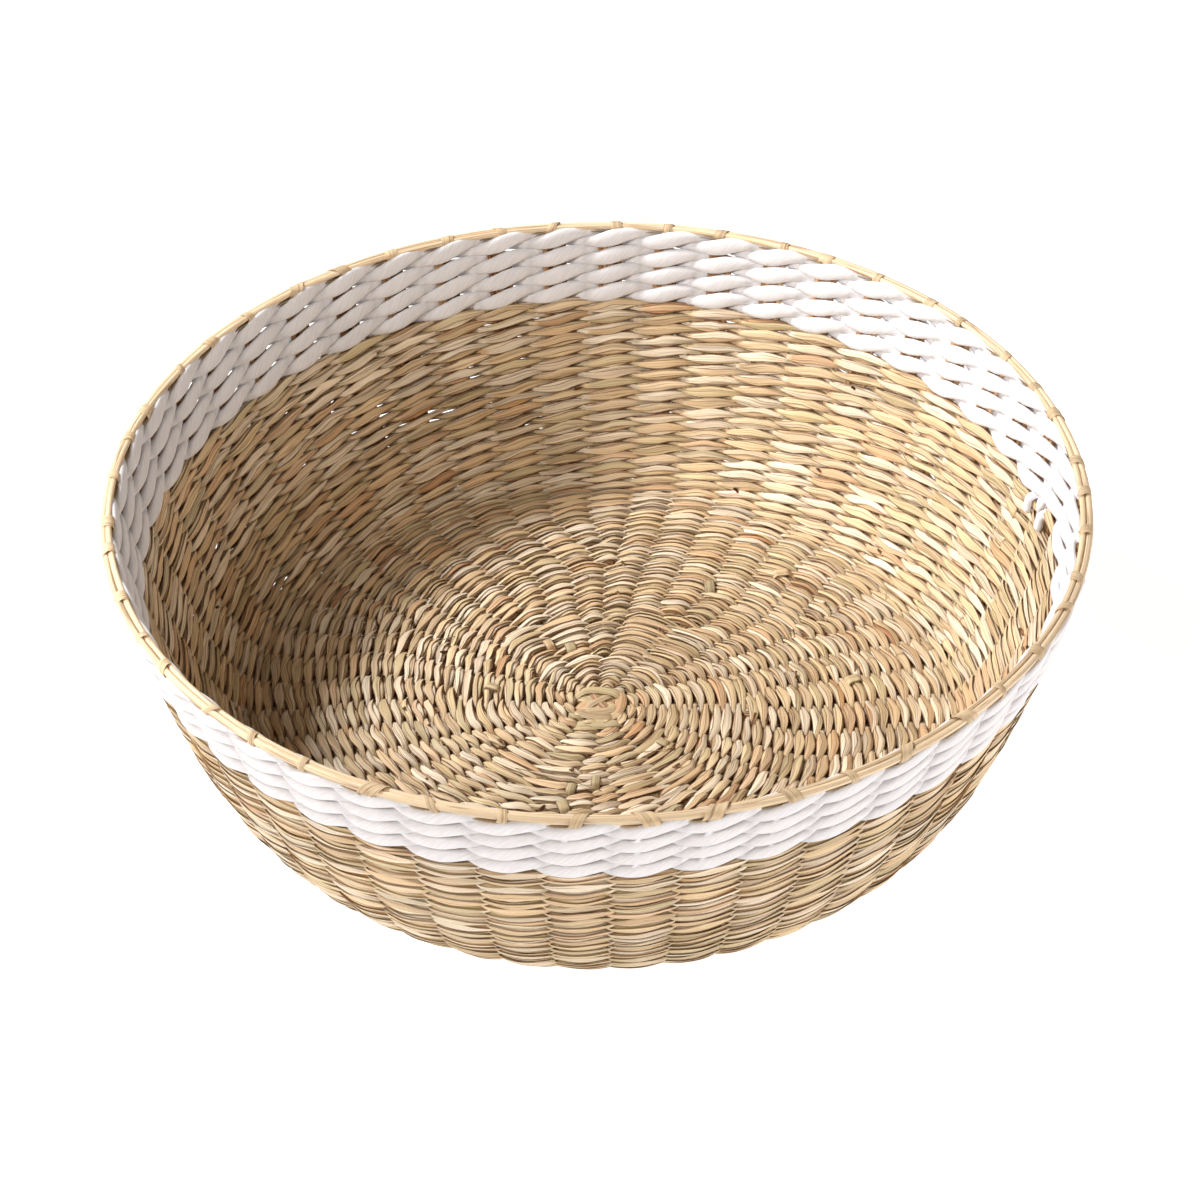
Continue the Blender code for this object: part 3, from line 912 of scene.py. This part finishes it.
def floor_finish():
    """A pale floor that gives off light too, so that it stays white."""
    m = Nodes("floor")
    grain = m.noise(None, 400.0)
    pale = m.mixed(grain, (0.50, 0.50, 0.50, 1), (0.52, 0.52, 0.52, 1))
    m.link(pale, m.shader.inputs["Base Color"])
    m.shader.inputs["Roughness"].default_value = 0.9
    m.shader.inputs["Emission Color"].default_value = (1, 1, 1, 1)
    m.shader.inputs["Emission Strength"].default_value = 0.86
    return m.material


# Stage, lights, camera

FLOOR_HALF = 12.0
LIGHTS_AIM = (0, 0, 0.06)
LENS = 94.205                # in mm, for a sensor 36 mm wide
AZIMUTH = -0.0575
ELEVATION = 39.082
ROLL = 0.5132
CAMERA_AIM = (0.00095, 0, 0.05956)
CAMERA_DISTANCE = 1.23202


def aimed(data, towards, distance, aim):
    """Add a light at a distance from what it is aimed at."""
    made = bpy.data.objects.new(data.name, data)
    direction = Vector(towards).normalized()
    made.location = direction * distance + Vector(aim)
    made.rotation_euler = direction.to_track_quat("Z", "Y").to_euler()
    bpy.context.scene.collection.objects.link(made)


def area_light(name, towards, distance, size, power, colour):
    """A square soft box that stands towards a direction from the bowl."""
    light = bpy.data.lights.new(name, "AREA")
    light.shape = "SQUARE"
    light.size = size
    light.energy = power
    light.color = colour
    aimed(light, towards, distance, LIGHTS_AIM)


def spot_light(name, towards, distance, aim, width, power):
    """A soft-edged light on a patch of a given width."""
    light = bpy.data.lights.new(name, "SPOT")
    light.spot_size = 2 * math.atan(width / 2 / distance)
    light.spot_blend = 0.25
    light.shadow_soft_size = 0.08
    light.energy = power
    aimed(light, towards, distance, aim)


def stage():
    """The floor, the sky and the lights."""
    mesh = bpy.data.meshes.new("floor")
    corners = [(x * FLOOR_HALF, y * FLOOR_HALF, 0) for x, y in ((-1, -1), (1, -1), (1, 1), (-1, 1))]
    mesh.from_pydata(corners, [], [(0, 1, 2, 3)])
    mesh.materials.append(floor_finish())
    floor = bpy.data.objects.new("floor", mesh)
    bpy.context.scene.collection.objects.link(floor)

    world = bpy.data.worlds.new("studio")
    bpy.context.scene.world = world
    world.use_nodes = True
    background = world.node_tree.nodes["Background"]
    background.inputs["Color"].default_value = (1, 0.82, 0.66, 1)
    background.inputs["Strength"].default_value = 0.14

    area_light("key", (-0.618, 0.288, 0.731), 1.6, 0.26, 33, (0.97, 0.98, 1))
    area_light("fill", (-0.50, -0.58, 0.64), 2.0, 0.9, 17.5, (1, 0.93, 0.86))
    area_light("side", (0.93, -0.33, 0.12), 2.0, 0.6, 20, (1, 0.96, 0.92))
    spot_light("accent", (-0.78, -0.52, 0.36), 1.7, (0.097, 0.124, 0.075), 0.29, 52)
    bpy.context.scene.view_settings.view_transform = "Standard"


def camera():
    data = bpy.data.cameras.new("camera")
    data.sensor_width = 36
    data.lens = LENS
    data.clip_start = 0.05
    made = bpy.data.objects.new("camera", data)
    turn, tilt = math.radians(AZIMUTH), math.radians(ELEVATION)
    level = math.cos(tilt)
    back = Vector((math.sin(turn) * level, -math.cos(turn) * level, math.sin(tilt)))
    looking = (-back).to_track_quat("-Z", "Y").to_matrix()
    looking = looking @ Matrix.Rotation(math.radians(-ROLL), 3, "Z")
    where = Vector(CAMERA_AIM) + back * CAMERA_DISTANCE
    made.matrix_world = Matrix.Translation(where) @ looking.to_4x4()
    bpy.context.scene.collection.objects.link(made)
    bpy.context.scene.camera = made


grass_finish = grass("weft_grass", 2.6, 0.00026, 0.62, 0.5, painted_edge_shade=1.0)
weft_pieces(grass_finish)
rope_pieces(rope_finish())
stake_pieces(grass("stake_grass", 3.0, 0.0003, 0.55, 0.65))
border_stems(grass("border_grass", 2.5, 0.0001, 0.85, 0.42))
border_lacing(grass("lacing_grass", 5.0, 0.00025, 0.7, 0.5))
knot_piece(grass("tie_grass", 4.5, 0.0003, 0.74, 0.5))
small_ends(grass_finish)
stage()
camera()
